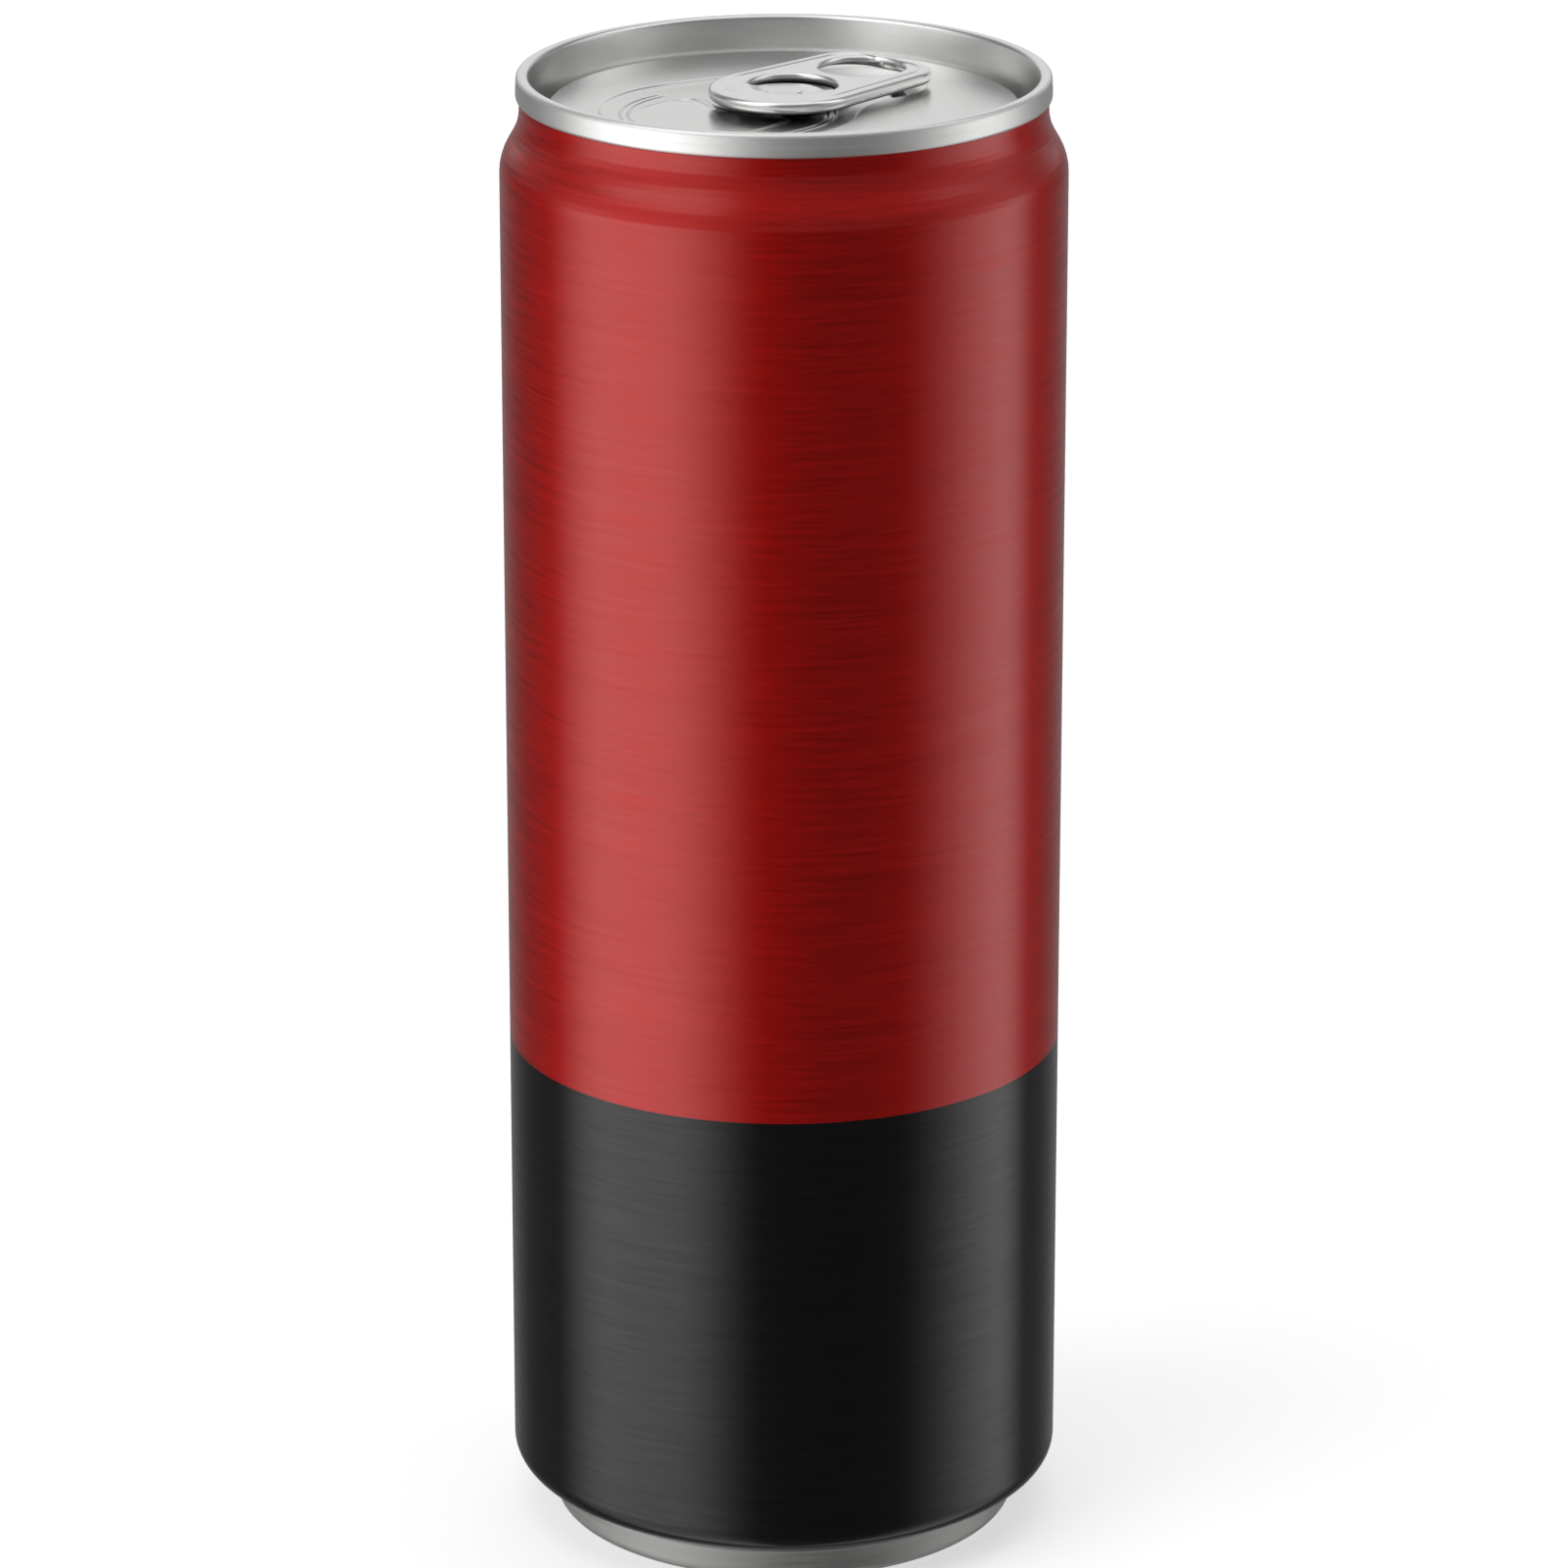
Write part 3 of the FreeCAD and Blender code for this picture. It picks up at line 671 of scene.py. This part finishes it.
def matt_seam_and_painted_shade(nodes, links):
    """The seam's outer face, left matt by the seaming rolls, and painted shade under the tab's window: a
    disk of the panel round the rivet made dark and matt, though not the rivet's head."""
    seam = reach_from(nodes, links, Vector((0, 0)))
    rivet = reach_from(nodes, links, place_on_can(WINDOW[0], 0))
    parts = nodes.new("ShaderNodeSeparateXYZ")
    links.new(nodes.new("ShaderNodeTexCoord").outputs["Object"], parts.inputs[0])
    head = step_at(nodes, links, parts.outputs["Z"], (ISLAND_TOP - 0.04) * MM, 0.04 * MM)
    beyond = step_at(nodes, links, rivet, SHADE_DISK_RADIUS * MM, SHADE_DISK_FEATHER * MM)
    outside = maths(nodes, links, "MAXIMUM", head, beyond)
    face = step_at(nodes, links, seam, (SEAM_RADIUS - SEAM_FACE) * MM, SEAM_FEATHER * MM)
    # The second mask is painted shade: the panel round the rivet darkened to a small share of its colour.
    return [(face, 1.0, SEAM_ROUGHNESS),
            (maths(nodes, links, "SUBTRACT", 1.0, outside), SHADE_DISK_SHARE, DULL_ROUGHNESS)]


build = bmesh.new()
turn(build, end_line())
panel_face(build)
turn(build, rivet_line())
end = finished("seamed_end", build,
               satin_aluminium("rolled_end", (0.86, 0.86, 0.85), 0.24, (300, 2600, 2600), 0.08, 0.002,
                               matt_seam_and_painted_shade))
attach(end, "root")
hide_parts("can_end")


# ---------------------------------------------------------------------------------------- pull_tab
# The stay-on tab is stamped from harder sheet. Its outer edge and the rims of both holes are curled
# under, and the island in its window slopes down from the nose to where the rivet clamps it.
NOSE_RADIUS = 7.8
NOSE_CENTRE = Vector((0.3, 0))
HEEL_REACH = 17.3
HEEL_CORNER = 4.5
HEEL_HALF_WIDTH = 7.1
TAB_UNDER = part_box("pull_tab")[0].z / MM
GROOVE_IN = 1.32
GROOVE_HALF_WIDTH = 0.24
GROOVE_DROP = 0.14
CREASE_HALF_WIDTH = 0.6
CREASE_DROP = 0.22
DOT_PLACE = Vector((-4.9, -0.6))
DOT_RADIUS = 0.5
DOT_DROP = 0.06
MOAT_RADIUS = 2.2
MOAT_HALF_WIDTH = 0.35
MOAT_DROP = 0.15
EDGE_ROLL = 0.6
EDGE_CURL = 1.2
HOLE_ROLL = 0.42
HOLE_CURL = 0.75
HOLE_CURL_DEPTH = 0.7
WINDOW_CURL_DEPTH = 1.1
FINGER_HOLE = Vector((11.8, 0)), 4.4
ISLAND_RADIUS = 4.1
# Painted shade: shares of the tab's colour left on its downward faces and on the lower points of the
# window's curl.
UNDERSIDE_SHADE_SHARE = 0.35
WINDOW_CURL_SHADE_SHARE = 0.04


def tab_line():
    """The tab's outer edge: a round nose, straight sides and a heel with two rounded corners."""
    run = HEEL_REACH - HEEL_CORNER - NOSE_CENTRE.x
    side = HEEL_HALF_WIDTH - HEEL_CORNER
    lean = math.atan2(side, run) + math.acos((NOSE_RADIUS - HEEL_CORNER) / math.hypot(run, side))
    points = arc(Vector((HEEL_REACH - HEEL_CORNER, -side)), HEEL_CORNER, -lean, 0)
    points += arc(Vector((HEEL_REACH - HEEL_CORNER, side)), HEEL_CORNER, 0, lean)
    points += arc(NOSE_CENTRE, NOSE_RADIUS, lean, 2 * math.pi - lean)
    return Track(spaced(points, 0.22, True), True)


TAB_EDGE = tab_line()
HOLE_RIMS = [Track(spaced(arc(*hole, 0, 2 * math.pi), 0.22, True), True)
             for hole in (WINDOW, FINGER_HOLE)]
CREASE_LINE = arc(NOSE_CENTRE, 5.7, math.radians(128), math.radians(160))
NOSE_CREASE = Track(spaced(CREASE_LINE, 0.2, False), False)


def roll(distance, radius):
    """How far a rolled edge has dropped at a distance in from it."""
    if distance >= radius:
        return 0.0
    return radius - math.sqrt(max(radius ** 2 - (radius - distance) ** 2, 0))


def from_edges(place):
    """Distances in from the tab's outer edge and out from the nearest hole."""
    outer = TAB_EDGE.left(place)[0]
    hole = min((place - centre).length - radius for centre, radius in (WINDOW, FINGER_HOLE))
    return max(outer, 0), max(hole, 0)


def tab_top(place):
    """The tab's upper face: flat, rolled over at every edge, with a groove inside the straight curls,
    a short crease and a dot pressed into the nose."""
    outer, hole = from_edges(place)
    groove = smooth((place.x + 1.5) / 3) * (1 - smooth(abs(outer - GROOVE_IN) / GROOVE_HALF_WIDTH))
    height = TAB_TOP - roll(outer, EDGE_ROLL) - roll(hole, HOLE_ROLL) - GROOVE_DROP * groove
    off, share = NOSE_CREASE.left(place)
    ends = smooth(share / 0.3) * smooth((1 - share) / 0.3)
    height -= CREASE_DROP * ends * (1 - smooth(abs(off) / CREASE_HALF_WIDTH))
    return height - DOT_DROP * (1 - smooth((place - DOT_PLACE).length / DOT_RADIUS))


def in_window_curl(place):
    """Whether a place lies in the curl round the rivet's window."""
    return (place - WINDOW[0]).length - WINDOW[1] < HOLE_CURL


def tab_under(place):
    """The tab's lower face: the plate's underside, with the curls hanging below it."""
    outer, hole = from_edges(place)
    height = TAB_TOP - SHEET
    if outer < EDGE_CURL:
        height = TAB_UNDER + roll(outer, EDGE_ROLL - 0.05) + roll(EDGE_CURL - outer, EDGE_ROLL - 0.05)
    if hole < HOLE_CURL:
        curl = roll(hole, 0.25) + roll(HOLE_CURL - hole, 0.25)
        depth = WINDOW_CURL_DEPTH if in_window_curl(place) else HOLE_CURL_DEPTH
        height = min(height, TAB_TOP - depth + curl)
    return height


def over_hole(places):
    """Whether the middle of some places lies over one of the tab's holes."""
    middle = sum(places, Vector((0, 0))) / len(places)
    return any((middle - centre).length < radius - 0.004 for centre, radius in (WINDOW, FINGER_HOLE))


def two_sided(build, rims, inner, top, under):
    """A closed piece of sheet: an upper and a lower face over the same points, and walls at its edges.
    The lower points of the window's curl are marked for the painted shade in the material."""
    points, triangles = filled(rims, inner)
    if len(rims) > 1:
        triangles = [triangle for triangle in triangles
                     if not over_hole([points[index] for index in triangle])]
    shaded = build.verts.layers.float.get("window_curl") or build.verts.layers.float.new("window_curl")
    upper = [build.verts.new(place_on_can(place, top(place))) for place in points]
    lower = [build.verts.new(place_on_can(place, under(place))) for place in points]
    for corner, place in zip(lower, points):
        corner[shaded] = in_window_curl(place)
    sides = {}
    for triangle in triangles:
        build.faces.new([upper[index] for index in triangle])
        build.faces.new([lower[index] for index in reversed(triangle)])
        for start, end in zip(triangle, triangle[1:] + triangle[:1]):
            sides[(start, end)] = sides.get((start, end), 0) + 1
    for start, end in sides:
        if (end, start) not in sides:
            build.faces.new([upper[end], upper[start], lower[start], lower[end]])


def tab_plate(build):
    """The tab without its island."""
    ring = [1 - math.cos(math.radians(angle)) for angle in (15, 30, 45, 60, 75, 90)]
    rims = [TAB_EDGE.points] + [rim.points for rim in HOLE_RIMS]
    steps_in = [EDGE_ROLL * share for share in ring]
    steps_in += [0.72, 0.95, 1.05, 1.13, EDGE_CURL - 0.03, EDGE_CURL]
    steps_in += [1.25, GROOVE_IN, 1.4, 1.48, 1.56, 1.65]
    rims += [TAB_EDGE.beside(distance) for distance in steps_in]
    steps_out = [HOLE_ROLL * share for share in ring]
    steps_out += [0.5, 0.6, 0.68, HOLE_CURL - 0.02, HOLE_CURL, 0.85]
    rims += [rim.beside(-distance) for rim in HOLE_RIMS for distance in steps_out]
    inner = []
    for distance in (0, 0.15, -0.15, 0.3, -0.3, 0.45, -0.45, 0.6, -0.6):
        inner += NOSE_CREASE.beside(distance)
    centre = Vector((5, 0))
    inner += [place + centre for place in grid(13, 0.5)]
    inner = [place for place in inner
             if from_edges(place)[0] > 1.75 and from_edges(place)[1] > 0.95]
    two_sided(build, rims, apart(inner, 0.05), tab_top, tab_under)


SLOT_FIRST = math.radians(-52)
SLOT_LAST = math.radians(100)
SLOT_EASE = math.radians(16)


def joined(angle):
    """1 where the island runs up into the plate and 0 along the slot, eased between."""
    middle = (SLOT_FIRST + SLOT_LAST) / 2
    half = (SLOT_LAST - SLOT_FIRST) / 2
    off = abs((angle - middle + math.pi) % (2 * math.pi) - math.pi)
    return smooth((off - half) / SLOT_EASE)


def island_rim():
    """The island's outline: round along the slot, and reaching past the window's rim elsewhere."""
    points = []
    for step in range(180):
        angle = 2 * math.pi * step / 180
        heading = Vector((math.cos(angle), math.sin(angle)))
        middle, radius = WINDOW
        reach = radius + 0.8
        along = heading.dot(middle)
        far = along + math.sqrt(along ** 2 - middle.length_squared + reach ** 2)
        share = joined(angle)
        points.append(heading * (ISLAND_RADIUS * (1 - share) + far * share))
    return points


def island_top(place):
    """The island's upper face: low at the rivet, with a moat round it, sloping up to lie flush with the
    plate."""
    share = joined(math.atan2(place.y, place.x))
    out = (place - WINDOW[0]).length - WINDOW[1]
    climb = smooth((out + 2.0) / 2.1)
    sink = smooth((out - 0.25) / 0.5) * 0.12
    flush = TAB_TOP + 0.012 - sink
    moat = MOAT_DROP * (1 - smooth(abs(place.length - MOAT_RADIUS) / MOAT_HALF_WIDTH))
    return ISLAND_TOP - moat + (flush - ISLAND_TOP) * climb * share


def island(build):
    """The island of the tab's window, with its tongue to the nose."""
    rim = island_rim()
    outline = Track(rim, True)
    inner = outline.beside(0.08) + outline.beside(0.2)
    for step in range(-3, 4):
        inner += arc(Vector((0, 0)), MOAT_RADIUS + 0.12 * step, 0, 2 * math.pi)[::2]
    inner += [place + WINDOW[0] for place in grid(6, 0.3)]
    inner = [place for place in inner if outline.left(place)[0] > 0.06]
    two_sided(build, [rim], apart(inner, 0.06), island_top, lambda place: island_top(place) - SHEET)


def painted_shade_underneath(nodes, links):
    """Painted shade under the tab: its downward faces are darkened to a share of their colour and made
    matt, and the lower points of the window's curl are made nearly black.
    """
    parts = nodes.new("ShaderNodeSeparateXYZ")
    links.new(nodes.new("ShaderNodeNewGeometry").outputs["Normal"], parts.inputs[0])
    down = maths(nodes, links, "MULTIPLY", parts.outputs["Z"], -1.0)
    marked = nodes.new("ShaderNodeAttribute")
    marked.attribute_name = "window_curl"
    return [(step_at(nodes, links, down, 0.35, 0.5), UNDERSIDE_SHADE_SHARE, DULL_ROUGHNESS),
            (marked.outputs["Fac"], WINDOW_CURL_SHADE_SHARE, DULL_ROUGHNESS)]


build = bmesh.new()
tab_plate(build)
island(build)
tab = finished("stay_on_tab", build,
               satin_aluminium("tab_sheet", (0.88, 0.88, 0.87), 0.22, (500, 900, 600), 0.06, 0.001,
                               painted_shade_underneath), 40)
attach(tab, "root")
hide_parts("pull_tab")


# ------------------------------------------------------------------------- floor, light and camera
# A pale matt floor under a plain studio: one wide and one narrow soft box at the can's sides, a bright
# ceiling and a dim room in front. The boxes reach below the floor's level, where the wall mirrors them.
# Directions are in degrees, and pairs of lights are below and above the horizon.
FLOOR_SIZE = 14.0
CAMERA_BACK = 0.71752
CAMERA_UP = 0.32108
CAMERA_TILT = 18.63
LENS = 167.82
LEFT_BOX = -112, -76, -50, -8
RIGHT_BOX = 48, 98, 100, 124
BEHIND = 130, 165
HORIZON = -4, 6
NEAR_FLOOR = -28, -20
HIGH_UP = 16, 38
OVERHEAD = 48, 72
RIGHT_SHARE = 0.78
NEAR_FLOOR_SHARE = 0.5
BOX_LIGHT = 1.85, 0.60
ROOM_LIGHT = 0.09, 0.21
BACK_LIGHT = 0.12, 0.54
HIGH_BOX_LIGHT = 1.75
HIGH_BACK_LIGHT = 0.75
CEILING_LIGHT = 0.85
FLOOR_GLOW = 0.5


def floor_material():
    material = bpy.data.materials.new("pale_floor")
    material.use_nodes = True
    nodes, links = material.node_tree.nodes, material.node_tree.links
    shader = nodes["Principled BSDF"]
    noise = nodes.new("ShaderNodeTexNoise")
    noise.inputs["Scale"].default_value = 3.0
    links.new(nodes.new("ShaderNodeTexCoord").outputs["Object"], noise.inputs["Vector"])
    links.new(colour_mix(nodes, links, noise.outputs["Fac"], (0.90, 0.90, 0.90), (0.92, 0.92, 0.92)),
              shader.inputs["Base Color"])
    shader.inputs["Roughness"].default_value = 1.0
    shader.inputs["Specular IOR Level"].default_value = 0.0
    shader.inputs["Emission Color"].default_value = (1, 1, 1, 1)
    shader.inputs["Emission Strength"].default_value = FLOOR_GLOW
    return material


def make_floor():
    build = bmesh.new()
    bmesh.ops.create_grid(build, x_segments=2, y_segments=2, size=FLOOR_SIZE / 2)
    floor = finished("floor", build, floor_material())
    floor.visible_glossy = False
    floor.visible_shadow = False


def eased(nodes, links, value, start, end):
    """0 before start, 1 past end, with an even ease between."""
    node = nodes.new("ShaderNodeMapRange")
    node.interpolation_type = "SMOOTHSTEP"
    node.inputs["From Min"].default_value = min(start, end)
    node.inputs["From Max"].default_value = max(start, end)
    node.inputs["To Min"].default_value = 0.0 if start < end else 1.0
    node.inputs["To Max"].default_value = 1.0 if start < end else 0.0
    links.new(value, node.inputs["Value"])
    return node.outputs["Result"]


def between(nodes, links, azimuth, start, full, still_full, end):
    """A soft box: it starts, is full between two azimuths, and ends."""
    return maths(nodes, links, "MULTIPLY", eased(nodes, links, azimuth, start, full),
                 eased(nodes, links, azimuth, end, still_full))


def rising(nodes, links, mask, below, above):
    """A brightness that goes from one value to another as the mask goes from 0 to 1."""
    return maths(nodes, links, "MULTIPLY_ADD", mask, above - below, below)


def make_studio():
    """The studio's light by direction. Azimuth 0 is the side the can is seen from, plus to its right."""
    world = bpy.data.worlds.new("studio")
    bpy.context.scene.world = world
    world.use_nodes = True
    nodes, links = world.node_tree.nodes, world.node_tree.links
    parts = nodes.new("ShaderNodeSeparateXYZ")
    links.new(nodes.new("ShaderNodeTexCoord").outputs["Generated"], parts.inputs[0])
    back = maths(nodes, links, "MULTIPLY", parts.outputs["Y"], -1.0)
    turn_angle = maths(nodes, links, "ARCTAN2", parts.outputs["X"], back)
    azimuth = maths(nodes, links, "DEGREES", turn_angle)
    rise = maths(nodes, links, "DEGREES", maths(nodes, links, "ARCSINE", parts.outputs["Z"]))
    left = between(nodes, links, azimuth, *LEFT_BOX)
    right = between(nodes, links, azimuth, *RIGHT_BOX)
    behind = eased(nodes, links, maths(nodes, links, "ABSOLUTE", azimuth), *BEHIND)
    sides = maths(nodes, links, "MULTIPLY_ADD", right, RIGHT_SHARE, left)
    above = eased(nodes, links, rise, *HORIZON)
    box, room, wall = (rising(nodes, links, above, *light) for light in (BOX_LIGHT, ROOM_LIGHT, BACK_LIGHT))
    light = maths(nodes, links, "MULTIPLY_ADD", behind, wall, room)
    low = rising(nodes, links, eased(nodes, links, rise, *NEAR_FLOOR), NEAR_FLOOR_SHARE, 1.0)
    light = maths(nodes, links, "MULTIPLY_ADD", maths(nodes, links, "MULTIPLY", sides, low), box, light)
    high_back = maths(nodes, links, "MULTIPLY", behind, HIGH_BACK_LIGHT)
    high = maths(nodes, links, "MULTIPLY_ADD", sides, HIGH_BOX_LIGHT, high_back)
    high = maths(nodes, links, "MULTIPLY", high, eased(nodes, links, rise, *HIGH_UP))
    ceiling = maths(nodes, links, "MULTIPLY", eased(nodes, links, rise, *OVERHEAD), CEILING_LIGHT)
    light = maths(nodes, links, "MAXIMUM", light, maths(nodes, links, "MAXIMUM", high, ceiling))
    links.new(light, nodes["Background"].inputs["Strength"])
    nodes["Background"].inputs["Color"].default_value = (1, 1, 1, 1)


def make_camera():
    camera = bpy.data.objects.new("camera", bpy.data.cameras.new("camera"))
    bpy.context.scene.collection.objects.link(camera)
    camera.location = (0, -CAMERA_BACK, CAMERA_UP)
    camera.rotation_euler = (math.radians(90 - CAMERA_TILT), 0, 0)
    camera.data.sensor_width = 36
    camera.data.lens = LENS
    camera.data.clip_start = 0.01
    bpy.context.scene.camera = camera
    bpy.context.scene.view_settings.view_transform = "Standard"


make_floor()
make_studio()
make_camera()
